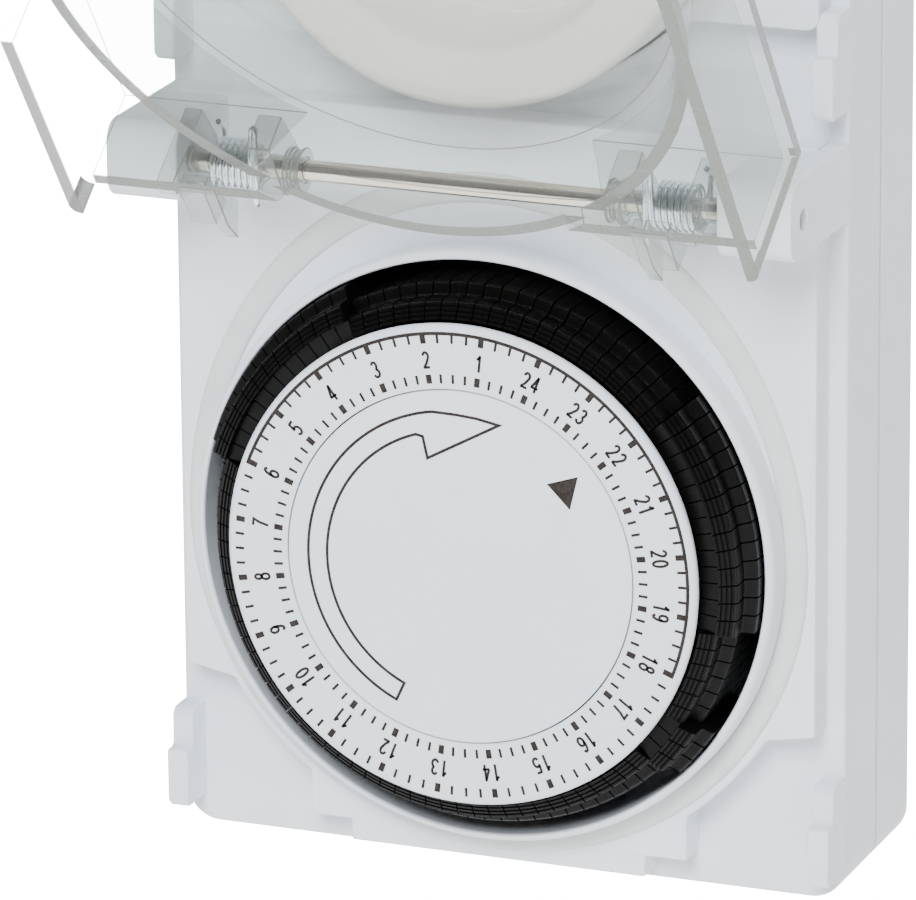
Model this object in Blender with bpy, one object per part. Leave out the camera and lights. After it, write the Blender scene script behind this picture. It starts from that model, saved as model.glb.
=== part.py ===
"""Outdoor plug-through 24-hour segment timer.

A tall shell with two stations: a sprung-lid timer dial below, a covered socket outlet above, and
the mains plug on a round boss behind the outlet. The outlet's two contacts stand one above the
other, with its earth springs left and right; the plug's pins stand side by side.

All lengths below are millimetres in the dial frame: X to the right, Y into the housing, Z up, with
the origin at the centre of the dial's printed face. The empty dial_frame places that frame in the
part's own frame, whose origin is the centre of the plug boss's end face.
"""
import math

import bmesh
import bpy
from mathutils import Matrix, Vector

MM = 0.001
TOUCH = 0.3                      # gap left between two pieces that touch

# Housing
HALF_WIDTH = 39.85
BOTTOM, TOP = -39.4, 137.0
CORNER = 4.0
WALL = 2.0
PLATE_Y, PLATE_BACK_Y = 11.0, 14.0
BASE_Y = 15.2
SEAM_Y = 26.6                    # middle of the gasketed joint between the two covers
BACK_Y = 37.5
PLATE_HALF = 37.7
PLATE_FOOT_Z = -19.0             # where the lower plate's straight sides end
TAB_HALF, TAB_FOOT_Z = 22.65, -35.4
STEM_HALF, STEM_FOOT_Z = 17.7, -37.95
UPPER_PLATE_Z = 61.5
LIP_IN, LIP_OUT, LIP_Y = 33.3, 34.3, 6.63

# Hinges, the same at both stations
HINGE_Y, HINGE_Z = 0.49, 43.65
STATION_PITCH = 88.1
KNUCKLE_X = (31.4, HALF_WIDTH)
ROD_R, BORE_R = 1.2, 1.4
OPEN_ANGLE = 143.5

# Lid, measured from its hinge axis: u down the closed lid, n towards the front
LID_HALF, LID_WALL = 39.8, 1.5
LID_U = (5.6, 83.2)
LID_FRONT, LID_RIM, LID_END_RIM, LID_TOP_RIM = 4.0, -13.1, -9.8, -9.3
LUG_NOTCH_U, LUG_NOTCH_N = (66.0, 82.2), -8.6
DRUM_U = 43.65                   # the drum is centred on the dial
DRUM_WALL = 1.5

# Dial and tappets
DISC_R, RING_IN, CENTRE_R = 27.75, 20.6, 20.2
TAPPET_TRAVEL = 1.8
PRINT_TURN = -21.07              # where hour 0 stands, degrees anticlockwise from the top
PUSHED_OUT = ((3.25, 6.25), (16.5, 17.25), (18.75, 22.0))
SINGLE_HOURS = (3.0, 6.25, 16.25, 17.25, 18.5, 22.0)

# Gear train
DIAL_TEETH, IDLER_SMALL, IDLER_LARGE, PINION_TEETH = 72, 12, 40, 10
DIAL_MODULE, MOTOR_MODULE = 0.8, 0.6
IDLER_AT = 23.8                  # X and Z of the idler's axis
MOTOR_AT = 13.2                  # X and Z of the motor's axis

# Socket and plug
SOCKET_Z = 79.0
PIN_X, PIN_R, PIN_LENGTH = 9.5, 2.4, 19.0
RECESS_R, RECESS_FLOOR_Y = 20.3, 15.3
BOSS_R, BOSS_END_Y = 18.2, 54.0

OUTLET_HOLE_R = 3.0
EARTH_HALF = 3.0                 # half the width of both earth straps
EARTH_IN, EARTH_OUT = 16.9, 18.5

# Cover screws
SCREW_X, SCREW_ZS = 33.6, (-33.8, 131.0)
POST_R, SCREW_HOLE_R, SCREW_HEAD_R, SCREW_SINK = 4.3, 1.8, 2.9, 2.6

WHITE = ("cool_white_plastic", (0.80, 0.82, 0.83), 0.45, 0.0)
CREAM = ("warm_white_plastic", (0.83, 0.81, 0.76), 0.4, 0.0)
PRINTED = ("dial_white_plastic", (0.86, 0.87, 0.87), 0.5, 0.0)
BLACK = ("black_plastic", (0.02, 0.02, 0.02), 0.5, 0.0)
GREY = ("grey_plastic", (0.35, 0.36, 0.37), 0.5, 0.0)
CLEAR = ("clear_plastic", (0.80, 0.86, 0.84), 0.08, 0.0)
RUBBER = ("beige_rubber", (0.55, 0.52, 0.46), 0.85, 0.0)
STEEL = ("bright_steel", (0.62, 0.60, 0.57), 0.28, 1.0)
ZINC = ("zinc_plated_steel", (0.55, 0.58, 0.62), 0.35, 1.0)
BRASS = ("brass", (0.78, 0.60, 0.30), 0.3, 1.0)

for old in list(bpy.data.objects):
    bpy.data.objects.remove(old, do_unlink=True)

dial_frame = bpy.data.objects.new("dial_frame", None)
dial_frame.location = (0.0, -BOSS_END_Y, -SOCKET_Z)
bpy.context.collection.objects.link(dial_frame)


def material(look):
    """The Principled material of a look, made once."""
    name, colour, roughness, metallic = look
    found = bpy.data.materials.get(name)
    if found:
        return found
    made = bpy.data.materials.new(name)
    made.use_nodes = True
    shader = made.node_tree.nodes["Principled BSDF"]
    shader.inputs["Base Color"].default_value = (*colour, 1.0)
    shader.inputs["Roughness"].default_value = roughness
    shader.inputs["Metallic"].default_value = metallic
    return made


def place(obj, at=(0.0, 0.0, 0.0)):
    """Put an object into the dial frame."""
    bpy.context.collection.objects.link(obj)
    obj.parent = dial_frame
    obj.location = at
    return obj


def piece(name, bm, look, at=(0.0, 0.0, 0.0)):
    """Turn a bmesh, in millimetres round the point at, into a named object."""
    bmesh.ops.recalc_face_normals(bm, faces=bm.faces)
    mesh = bpy.data.meshes.new(name)
    bm.to_mesh(mesh)
    bm.free()
    mesh.shade_smooth()
    mesh.set_sharp_from_angle(angle=math.radians(35.0))
    mesh.materials.append(material(look))
    return place(bpy.data.objects.new(name, mesh), at)


def boolean(target, operation, tool):
    """Cut or join one object with another, and drop the tool."""
    modifier = target.modifiers.new(operation.lower(), "BOOLEAN")
    modifier.operation = operation
    modifier.solver = "EXACT"
    modifier.object = tool
    bpy.context.view_layer.update()
    graph = bpy.context.evaluated_depsgraph_get()
    result = bpy.data.meshes.new_from_object(target.evaluated_get(graph))
    target.modifiers.clear()
    target.data = result
    bpy.data.objects.remove(tool, do_unlink=True)


def cut(target, *tools):
    """Cut shapes, given as bmeshes round the target's own origin."""
    for tool in tools:
        boolean(target, "DIFFERENCE", piece("tool", tool, GREY, target.location))


def join(target, *tools):
    """Join shapes, given as bmeshes round the target's own origin."""
    for tool in tools:
        boolean(target, "UNION", piece("tool", tool, GREY, target.location))


def loft(first, second):
    """Closed solid between two outlines that have the same number of 3-D points."""
    bm = bmesh.new()
    rings = [[bm.verts.new(p) for p in outline] for outline in (first, second)]
    for ring in rings:
        bm.faces.new(ring)
    count = len(first)
    for i in range(count):
        j = (i + 1) % count
        bm.faces.new((rings[0][i], rings[0][j], rings[1][j], rings[1][i]))
    return bm


def prism(outline, y0, y1):
    """Outline of (x, z) points, extruded along Y."""
    return loft([(x, y0, z) for x, z in outline], [(x, y1, z) for x, z in outline])


def side_prism(outline, x0, x1):
    """Outline of (y, z) points, extruded along X."""
    return loft([(x0, y, z) for y, z in outline], [(x1, y, z) for y, z in outline])


def block(x0, x1, y0, y1, z0, z1):
    return prism([(x0, z0), (x1, z0), (x1, z1), (x0, z1)], y0, y1)


def arc(cx, cz, rx, rz, start, end, steps):
    """Points of an elliptic arc, angles in degrees from +X towards +Z."""
    angles = [math.radians(start + (end - start) * i / steps) for i in range(steps + 1)]
    return [(cx + rx * math.cos(a), cz + rz * math.sin(a)) for a in angles]


def rounded_rectangle(x0, x1, z0, z1, radius, steps=4):
    outline = []
    for cx, cz, start in ((x1 - radius, z1 - radius, 0), (x0 + radius, z1 - radius, 90),
                          (x0 + radius, z0 + radius, 180), (x1 - radius, z0 + radius, 270)):
        outline += arc(cx, cz, radius, radius, start, start + 90, steps)
    return outline


def turned(profile, segments=36, at=(0.0, 0.0), turn=360.0, start=0.0):
    """Profile of (radius, y) points turned round the Y axis through at; part turns are capped."""
    full = turn >= 360.0
    steps = segments if full else max(1, round(segments * turn / 360.0))
    bm = bmesh.new()
    rings = []
    for i in range(steps if full else steps + 1):
        a = math.radians(start + turn * i / steps)
        rings.append([(r * math.cos(a) + at[0], y, r * math.sin(a) + at[1]) for r, y in profile])
    made = [[bm.verts.new(p) for p in ring] for ring in rings]
    for i in range(steps):
        ring, following = made[i], made[(i + 1) % len(made)]
        for j in range(len(profile)):
            k = (j + 1) % len(profile)
            if profile[j][0] > 0.0 or profile[k][0] > 0.0:
                bm.faces.new((ring[j], ring[k], following[k], following[j]))
    if not full:
        bm.faces.new(made[0])
        bm.faces.new(made[-1])
    bmesh.ops.remove_doubles(bm, verts=bm.verts, dist=1e-4)
    bmesh.ops.dissolve_limit(bm, angle_limit=1e-3, verts=bm.verts, edges=bm.edges)
    return bm


def disc(radius, y0, y1, at=(0.0, 0.0), segments=24):
    """Round plate or hole cutter along Y."""
    return turned([(0.0, y0), (radius, y0), (radius, y1), (0.0, y1)], segments, at)


def cross_pin(radius, x0, x1, y, z, segments=16):
    """Round bar along X."""
    circle = [(y + radius * math.cos(math.tau * i / segments),
               z + radius * math.sin(math.tau * i / segments)) for i in range(segments)]
    return side_prism(circle, x0, x1)


def both(outline):
    """A right-hand half outline, completed by its mirror image in the YZ plane."""
    return outline + [(-x, z) for x, z in reversed(outline)]


def hour_angle(hour):
    """Direction of an hour on the dial, degrees from +X towards +Z."""
    return 90.0 + PRINT_TURN + 15.0 * hour


# ---------------------------------------------------------------- housing

def lower_plate_outline(inset=0.0):
    """Raised plate of the dial station: straight sides, round foot, tab and stem."""
    circle = PLATE_HALF - inset
    side_angle = math.degrees(math.asin(PLATE_FOOT_Z / circle))
    tab_angle = -math.degrees(math.acos(TAB_HALF / circle))
    right = [(circle, 48.5), (circle, PLATE_FOOT_Z)]
    right += arc(0.0, 0.0, circle, circle, side_angle, tab_angle, 6)
    right += [(TAB_HALF, TAB_FOOT_Z), (STEM_HALF, TAB_FOOT_Z), (STEM_HALF, STEM_FOOT_Z)]
    return both(right)


def egg(side, top, bottom, steps=18):
    """Egg-shaped seal outline round the dial: round below, taller above."""
    return (arc(0.0, 0.0, side, top, 0, 180, steps)[:-1]
            + arc(0.0, 0.0, side, bottom, 180, 360, steps)[:-1])


def lug_outline(shift):
    """Side view of a catch lug: a shallow upper step and a prouder lower one."""
    points = [(16.0, -24.7), (12.1, -24.7), (11.3, -25.5), (11.3, -29.2),
              (9.6, -29.2), (9.6, -35.5), (10.4, -36.3), (16.0, -36.3)]
    return [(y, z + shift) for y, z in points]


def knuckle_outline(shift):
    """Side view of a hinge knuckle with its two rounded front corners."""
    radius, front, low, high = 2.4, -3.8, 39.4, 48.2
    upper = arc(front + radius, high - radius, radius, radius, 90, 180, 4)
    lower = arc(front + radius, low + radius, radius, radius, 180, 270, 4)
    return [(y, z + shift) for y, z in upper + lower + [(16.5, low), (16.5, high)]]


def make_front_cover():
    """Front half of the shell: base, raised plates, dial lip, catch lugs and hinge knuckles."""
    cover = piece("front_cover", prism(rounded_rectangle(
        -HALF_WIDTH, HALF_WIDTH, BOTTOM, TOP, CORNER), BASE_Y, SEAM_Y - 0.4), WHITE)
    upper_plate = rounded_rectangle(-PLATE_HALF, PLATE_HALF, UPPER_PLATE_Z, TOP - 1.0, 1.5, 2)
    join(cover, prism(lower_plate_outline(), PLATE_Y, BASE_Y + 0.8),
         prism(upper_plate, PLATE_Y, BASE_Y + 0.8),
         turned([(LIP_IN - 1.0, LIP_Y), (LIP_OUT, LIP_Y), (LIP_OUT, PLATE_Y + 0.5),
                 (LIP_IN - 1.0, PLATE_Y + 0.5)], 48))
    for shift in (0.0, STATION_PITCH):
        for side in (-1, 1):
            join(cover, side_prism(lug_outline(shift), side * 37.3, side * HALF_WIDTH),
                 side_prism(knuckle_outline(shift), side * KNUCKLE_X[0], side * KNUCKLE_X[1]))
    cut(cover, prism(rounded_rectangle(WALL - HALF_WIDTH, HALF_WIDTH - WALL, BOTTOM + WALL,
                                       TOP - WALL, CORNER - WALL), BASE_Y + WALL, SEAM_Y + 1.0),
        block(-35.4, 35.4, PLATE_BACK_Y, BASE_Y + WALL + 0.4, -16.8, 37.2),
        disc(LIP_IN, LIP_Y - 1.0, SEAM_Y, segments=48),
        disc(27.5, PLATE_Y - 1.0, SEAM_Y, (0.0, SOCKET_Z), 36))
    for x in (-SCREW_X, SCREW_X):
        for z in SCREW_ZS:
            join(cover, disc(POST_R, BASE_Y + 1.0, SEAM_Y - 0.7, (x, z), 16))
            cut(cover, disc(SCREW_HOLE_R, BASE_Y + 3.4, SEAM_Y + 1.0, (x, z), 12))
    groove = prism(egg(37.0, 42.3, 36.8), PLATE_Y - 1.0, PLATE_Y + 1.3)
    groove = piece("groove", groove, WHITE)
    cut(groove, disc(LIP_OUT - 0.1, PLATE_Y - 2.0, PLATE_Y + 3.0, segments=48))
    boolean(cover, "DIFFERENCE", groove)
    for shift in (0.0, STATION_PITCH):
        cut(cover, cross_pin(BORE_R, -37.4, 37.4, HINGE_Y, HINGE_Z + shift),
            cross_pin(1.2, -HALF_WIDTH - 1.0, HALF_WIDTH + 1.0, HINGE_Y, HINGE_Z + shift, 12))
    return cover


def make_rear_cover():
    """Back half of the shell with the hollow plug boss."""
    cover = piece("rear_cover", prism(rounded_rectangle(
        -HALF_WIDTH, HALF_WIDTH, BOTTOM, TOP, CORNER), SEAM_Y + 0.4, BACK_Y), WHITE)
    join(cover, disc(BOSS_R, BACK_Y - 1.0, BOSS_END_Y, (0.0, SOCKET_Z), 36))
    cut(cover, prism(rounded_rectangle(WALL - HALF_WIDTH, HALF_WIDTH - WALL, BOTTOM + WALL,
                                       TOP - WALL, CORNER - WALL), SEAM_Y - 1.0, BACK_Y - WALL),
        disc(BOSS_R - 2.2, BACK_Y - 3.0, BOSS_END_Y - 2.5, (0.0, SOCKET_Z), 36))
    for side in (-1, 1):
        z = sorted((SOCKET_Z + side * 14.0, SOCKET_Z + side * 20.0))
        cut(cover, disc(PIN_R + TOUCH, BACK_Y, BOSS_END_Y + 1.0, (side * PIN_X, SOCKET_Z), 16),
            block(-EARTH_HALF - 0.4, EARTH_HALF + 0.4, 44.5, BOSS_END_Y + 1.0, *z))
    for x in (-SCREW_X, SCREW_X):
        for z in SCREW_ZS:
            join(cover, disc(POST_R, SEAM_Y + 0.7, BACK_Y - 0.5, (x, z), 16))
            cut(cover, disc(SCREW_HOLE_R, SEAM_Y - 1.0, BACK_Y + 1.0, (x, z), 12),
                disc(SCREW_HEAD_R + 0.4, BACK_Y - SCREW_SINK, BACK_Y + 1.0, (x, z), 16))
    return cover


def make_seals():
    """Cord seal between the covers and the soft ring round the dial."""
    seal = piece("body_seal", prism(rounded_rectangle(
        -39.1, 39.1, BOTTOM + 0.5, TOP - 0.5, CORNER - 0.5), SEAM_Y - 0.2, SEAM_Y + 0.2), RUBBER)
    cut(seal, prism(rounded_rectangle(-37.9, 37.9, BOTTOM + 1.7, TOP - 1.7, CORNER - 1.7),
                    SEAM_Y - 2.0, SEAM_Y + 2.0))
    gasket = piece("dial_gasket", prism(egg(36.7, 42.0, 36.5), PLATE_Y - 0.4, PLATE_Y + 1.0),
                   RUBBER)
    cut(gasket, prism(egg(34.6, 39.0, 34.6), PLATE_Y - 2.0, PLATE_Y + 3.0))


def make_cover_screws():
    tip, head = BASE_Y + 3.7, BACK_Y - SCREW_SINK + TOUCH
    profile = [(0.0, tip), (1.2, tip), (1.5, tip + 0.6), (1.5, head), (SCREW_HEAD_R, head),
               (SCREW_HEAD_R, head + 1.6), (0.0, head + 1.6)]
    for number, (x, z) in enumerate(((x, z) for z in SCREW_ZS for x in (-SCREW_X, SCREW_X)), 1):
        piece(f"cover_screw_{number}", turned(profile, 12, (x, z)), ZINC)


# ---------------------------------------------------------------- lids, round their own hinge axis

def lid_box(x0, x1, u0, u1, n0, n1):
    """Block in the closed lid's own measures."""
    return block(x0, x1, -n1, -n0, -u1, -u0)


def drum_outline(n, inset, steps=22):
    """Outline of the lid's drum at height n: round below, taller towards the hinge."""
    drawn = (1.9 - n) / 8.1
    side = 34.8 + 1.4 * drawn - inset
    top = 38.6 + 4.7 * drawn - inset
    return [(x, -n, z) for x, z in arc(0.0, -DRUM_U, side, top, 0, 180, steps)[:-1]
            + arc(0.0, -DRUM_U, side, side, 180, 360, steps)[:-1]]


def make_lid(name, look, hinge_z, with_drum):
    """One lid, modelled closed and then turned open about its hinge."""
    lid = piece(name, lid_box(-LID_HALF, LID_HALF, *LID_U, LID_RIM, LID_FRONT), look)
    inner = LID_HALF - LID_WALL
    cut(lid, lid_box(-inner, inner, LID_U[0] + 1.5, LID_U[1] - 1.5, LID_RIM - 1.0, 2.5),
        lid_box(-inner + 0.1, inner - 0.1, LID_U[0] - 1.0, LID_U[0] + 2.5,
                LID_RIM - 1.0, LID_TOP_RIM),
        lid_box(-inner + 0.1, inner - 0.1, LID_U[1] - 2.5, LID_U[1] + 1.0,
                LID_RIM - 1.0, LID_END_RIM))
    if with_drum:
        join(lid, loft(drum_outline(3.9, 0.0), drum_outline(-6.2, 0.0)))
        cut(lid, loft(drum_outline(2.4, DRUM_WALL), drum_outline(-14.0, DRUM_WALL)),
            lid_box(-LID_HALF - 1.0, -37.2, 35.0, 57.0, LID_RIM - 1.0, -4.0))
    for side in (-1, 1):
        for x0, x1 in ((19.6, 22.4), (29.0, 31.1)):
            ear = arc(0.0, 0.0, 3.0, 3.0, 0, 180, 8) + [(-2.0, -6.4), (2.8, -6.4)]
            join(lid, side_prism([(y, z) for y, z in ear], side * x0, side * x1))
        tab = [(7.0, -6.4), (5.4, -0.2), (7.9, 3.05), (8.9, -0.4), (8.9, -6.4)]
        join(lid, side_prism(tab, side * 24.0, side * 28.3))
        notch = sorted((side * 37.2, side * (LID_HALF + 1.0)))
        cut(lid, lid_box(*notch, *LUG_NOTCH_U, LID_RIM - 1.0, LUG_NOTCH_N))
    cut(lid, cross_pin(BORE_R, -36.0, 36.0, 0.0, 0.0))
    lid.location = (0.0, HINGE_Y, hinge_z)
    lid.rotation_euler.x = -math.radians(OPEN_ANGLE)
    return lid


def make_spring(name, side, hinge_z):
    """Torsion spring round the rod: coil, a leg on the housing and a leg on the lid."""
    x0, x1, turns, per_turn, radius = 23.4, 28.4, 6.4, 7, 2.55
    count = round(turns * per_turn)
    first = math.radians(90.0)
    helix = [(side * (x0 + (x1 - x0) * i / count), radius * math.cos(first + math.tau * i / per_turn),
              radius * math.sin(first + math.tau * i / per_turn)) for i in range(count + 1)]
    start, end = Vector(helix[0]), Vector(helix[-1])
    ahead = Vector((0.0, 1.0, 0.0))
    along = (end - Vector(helix[-2])).normalized()
    along.x = 0.0
    points = [start + ahead * 5.0, start + ahead * 2.5, *map(Vector, helix), end + along * 2.4]
    curve = bpy.data.curves.new(name, "CURVE")
    curve.dimensions = "3D"
    curve.bevel_depth = 0.35
    curve.bevel_resolution = 0
    curve.use_fill_caps = True
    spline = curve.splines.new("POLY")
    spline.points.add(len(points) - 1)
    for target, point in zip(spline.points, points):
        target.co = (*point, 1.0)
    curve.materials.append(material(ZINC))
    place(bpy.data.objects.new(name, curve), (0.0, HINGE_Y, hinge_z))


def make_hinge(station, hinge_z):
    """Rod and two springs of one station's lid."""
    piece(f"{station}_lid_rod", cross_pin(ROD_R, -37.0, 37.0, 0.0, 0.0, 16), STEEL,
          (0.0, HINGE_Y, hinge_z))
    make_spring(f"{station}_spring_left", -1, hinge_z)
    make_spring(f"{station}_spring_right", 1, hinge_z)


# ---------------------------------------------------------------- socket and plug

def make_socket():
    """Round outlet insert with its screw, earth springs and contact sleeves."""
    at = (0.0, SOCKET_Z)
    insert = piece("socket_insert", turned(
        [(0.0, RECESS_FLOOR_Y), (19.5, RECESS_FLOOR_Y), (RECESS_R, 2.3), (21.0, 1.5), (26.4, 1.5),
         (27.2, 2.3), (27.2, 17.8), (0.0, 17.8)], 36, at), CREAM)
    cut(insert, disc(1.8, 10.0, 20.0, at, 12), disc(3.6, 10.0, RECESS_FLOOR_Y + 1.5, at))
    for side in (-1, 1):
        x = sorted((side * (EARTH_IN - 0.5), side * (EARTH_OUT + 0.7)))
        cut(insert, disc(OUTLET_HOLE_R, 10.0, 20.0, (0.0, SOCKET_Z + side * PIN_X), 16),
            block(*x, 10.0, 20.0, SOCKET_Z - EARTH_HALF - 0.4, SOCKET_Z + EARTH_HALF + 0.4))
    piece("socket_screw", turned([(0.0, 15.4), (2.9, 15.4), (3.2, 15.8), (3.2, 16.5), (1.5, 16.5),
                                  (1.5, 21.5), (0.0, 21.5)], 12, at), ZINC)
    inner = [(EARTH_IN + 0.6, 4.6), (EARTH_IN, 6.0), (EARTH_IN, 19.0)]
    bracket = inner + [(-x, y) for x, y in reversed(inner)]
    bracket += [(-EARTH_OUT, 4.6), (-EARTH_OUT, 20.0), (EARTH_OUT, 20.0), (EARTH_OUT, 4.6)]
    earth = piece("earth_bracket", loft([(x, y, SOCKET_Z - EARTH_HALF) for x, y in bracket],
                                        [(x, y, SOCKET_Z + EARTH_HALF) for x, y in bracket]), BRASS)
    cut(earth, disc(1.8, 17.0, 22.0, at, 12))
    for side, place_name in ((-1, "lower"), (1, "upper")):
        piece(f"contact_sleeve_{place_name}", turned(
            [(2.7, 18.1), (3.7, 18.1), (3.7, 30.0), (2.7, 30.0)], 16,
            (0.0, SOCKET_Z + side * PIN_X)), BRASS)


def make_plug():
    """Two round pins with a collar inside the boss, and the plug's earth strap."""
    end = BOSS_END_Y + PIN_LENGTH
    profile = [(0.0, 34.0), (PIN_R, 34.0), (PIN_R, 48.4), (3.8, 48.4), (3.8, 51.2), (PIN_R, 51.2),
               (PIN_R, end - 1.6), (1.6, end - 0.4), (0.9, end), (0.0, end)]
    for side, hand in ((-1, "left"), (1, "right")):
        piece(f"plug_pin_{hand}", turned(profile, 16, (side * PIN_X, SOCKET_Z)), STEEL)
    strap = [(53.4, 16.9), (46.0, 16.9), (46.0, -16.9), (53.4, -16.9), (53.4, -17.9),
             (45.0, -17.9), (45.0, 17.9), (53.4, 17.9)]
    piece("plug_earth_bracket", side_prism([(y, z + SOCKET_Z) for y, z in strap],
                                           -EARTH_HALF, EARTH_HALF), BRASS)


def strip(points, width):
    """Outline of a flat bar that follows a line of points."""
    left, right = [], []
    for i, point in enumerate(points):
        here = Vector(point)
        before = (here - Vector(points[i - 1])).normalized() if i else None
        after = (Vector(points[i + 1]) - here).normalized() if i + 1 < len(points) else None
        run = ((before or after) + (after or before)).normalized()
        reach = width / 2.0 / max(0.5, run.dot(before or after))
        offset = Vector((-run.y, run.x)) * reach
        left.append(tuple(here + offset))
        right.append(tuple(here - offset))
    return left + right[::-1]


def make_bars():
    """Flat bars: plug to outlet, plug to switch, and switch to outlet."""
    piece("neutral_link", prism(strip([(0.0, 67.8), (0.0, 70.0), (9.5, 79.5), (9.5, 81.0)], 2.8),
                                30.3, 33.7), BRASS)
    piece("live_bar", prism(strip([(-9.5, 82.0), (-9.5, 62.0), (-31.5, 40.0), (-31.5, 30.5)], 3.4),
                            32.9, 33.7), BRASS)
    piece("switched_bar", prism(strip([(0.0, 90.5), (0.0, 88.0), (-9.5, 78.5), (-9.5, 64.0),
                                       (-25.5, 48.0), (-25.5, 35.5)], 3.0), 30.3, 31.1), BRASS)


# ---------------------------------------------------------------- timer

def gear_outline(teeth, module, phase=0.0):
    """Plain straight-flanked teeth, thin enough to run with backlash."""
    pitch = 360.0 / teeth
    root, tip = module * (teeth / 2.0 - 1.15), module * (teeth / 2.0 + 0.85)
    outline = []
    for i in range(teeth):
        middle = phase + i * pitch
        for radius, offset in ((root, -0.28), (tip, -0.11), (tip, 0.11), (root, 0.28)):
            a = math.radians(middle + offset * pitch)
            outline.append((radius * math.cos(a), radius * math.sin(a)))
    return outline


TAPPET_PROFILE = [(22.9, 2.4), (28.05, 2.4), (28.05, 1.4), (29.95, 2.5), (29.95, 4.5), (31.3, 5.2),
                  (31.3, 16.4), (29.5, 16.4), (29.5, 9.6), (22.9, 9.6)]


def tappet_run(name, first_hour, last_hour, shift):
    """A run of neighbouring tappets, set in or pushed out by shift."""
    margin = 0.35
    start = hour_angle(first_hour) + margin
    profile = [(r + shift, y) for r, y in TAPPET_PROFILE]
    return piece(name, turned(profile, 48, turn=15.0 * (last_hour - first_hour) - 2.0 * margin,
                              start=start), BLACK)


def make_tappets():
    """Single sliding tappets, with banks that stand for the runs between them."""
    marks = {h for run in PUSHED_OUT for h in run}
    for hour in SINGLE_HOURS:
        marks |= {hour, hour + 0.25}
    marks = sorted(marks)
    banks = 0
    for first, last in zip(marks, marks[1:] + [marks[0] + 24.0]):
        if first in SINGLE_HOURS:
            number = SINGLE_HOURS.index(first) + 1
            tappet_run(f"tappet_{number}", first, last, 0.0)
            continue
        banks += 1
        out = any(a <= first and last <= b for a, b in PUSHED_OUT)
        tappet_run(f"tappet_bank_{banks}", first, last, TAPPET_TRAVEL if out else 0.0)


def make_dial():
    """Fixed centre disc, hour ring, tappet carrier with its gear, and the spindle."""
    piece("centre_disc", turned([(0.0, 0.0), (CENTRE_R, 0.0), (CENTRE_R, 1.6), (0.0, 1.6)], 36),
          PRINTED)
    piece("hour_ring", turned(
        [(RING_IN, 0.0), (27.0, 0.0), (27.5, 0.25), (DISC_R, 0.84), (27.5, 1.6), (27.0, 2.0),
         (RING_IN, 2.0)], 48), PRINTED)
    piece("tappet_carrier", turned(
        [(4.4, 3.0), (7.0, 3.0), (7.0, 12.4), (20.7, 12.4), (20.7, 2.3), (22.4, 2.3), (22.4, 10.0),
         (29.0, 10.0), (29.0, 12.0), (22.4, 12.0), (22.4, 16.6), (4.4, 16.6)], 36), BLACK)
    gear = piece("dial_gear", prism(gear_outline(DIAL_TEETH, DIAL_MODULE), 17.0, 20.0), CREAM)
    cut(gear, disc(4.4, 16.0, 21.0, segments=24))
    piece("dial_spindle", disc(4.0, 1.9, 22.5, segments=24), STEEL)


def make_train():
    """Chassis plate, motor with its pinion, and the idler between pinion and dial gear."""
    chassis = both([(36.0, 41.0), (36.0, -24.4), (25.4, -35.0)])
    chassis = piece("timer_chassis", prism(chassis, 22.8, 24.8), GREY)
    cut(chassis, disc(1.6, 20.0, 27.0, (MOTOR_AT, MOTOR_AT), 12),
        disc(1.3, 20.0, 27.0, (IDLER_AT, IDLER_AT), 12))
    idler = piece("idler_gear", prism(gear_outline(IDLER_LARGE, MOTOR_MODULE), 20.4, 22.4), CREAM,
                  (IDLER_AT, 0.0, IDLER_AT))
    join(idler, prism(gear_outline(IDLER_SMALL, DIAL_MODULE), 17.0, 20.8))
    cut(idler, disc(1.3, 16.0, 24.0, segments=12))
    piece("idler_axle", disc(1.0, 16.4, 25.6, (IDLER_AT, IDLER_AT), 12), STEEL)
    pinion = piece("motor_pinion", prism(gear_outline(PINION_TEETH, MOTOR_MODULE, 27.0), 20.4, 22.4),
                   BRASS, (MOTOR_AT, 0.0, MOTOR_AT))
    join(pinion, disc(1.0, 22.0, 24.8, segments=12))
    piece("motor", turned([(0.0, 25.1), (13.4, 25.1), (14.0, 25.7), (14.0, 34.4), (13.4, 35.0),
                           (0.0, 35.0)], 32, (MOTOR_AT, MOTOR_AT)), STEEL)


def tangent_outline(t0, t1, r0, r1):
    """Rectangle beside the dial at its upper left: t along the rim, r out from the centre."""
    out, along = Vector((-math.sqrt(0.5), math.sqrt(0.5))), Vector((math.sqrt(0.5), math.sqrt(0.5)))
    return [tuple(out * r + along * t) for t, r in ((t0, r0), (t1, r0), (t1, r1), (t0, r1))]


def make_switch():
    """Microswitch and its lever, which rides the pushed-out tappets."""
    pivot_t, pivot_r = -12.0, 34.6
    (px, pz), *_ = tangent_outline(pivot_t, 0.0, pivot_r, 0.0)
    lever = [(x - px, z - pz) for x, z in tangent_outline(-13.8, 7.0, 33.6, 35.6)]
    lever = piece("switch_lever", prism(lever, 14.5, 16.2), CREAM, (px, 0.0, pz))
    cut(lever, disc(0.6, 12.0, 18.0, segments=8))
    piece("microswitch", prism(tangent_outline(-6.0, 8.0, 38.0, 43.6), 14.6, 22.4), BLACK)


def into_metres():
    """Everything so far is in millimetres; Blender's unit here is the metre."""
    for obj in bpy.data.objects:
        obj.location *= MM
        if obj.data:
            obj.data.transform(Matrix.Scale(MM, 4))


make_front_cover()
make_rear_cover()
make_seals()
make_cover_screws()
make_lid("dial_lid", CLEAR, HINGE_Z, True)
make_lid("socket_lid", WHITE, HINGE_Z + STATION_PITCH, False)
make_hinge("dial", HINGE_Z)
make_hinge("socket", HINGE_Z + STATION_PITCH)
make_socket()
make_plug()
make_bars()
make_dial()
make_tappets()
make_train()
make_switch()
into_metres()
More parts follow.
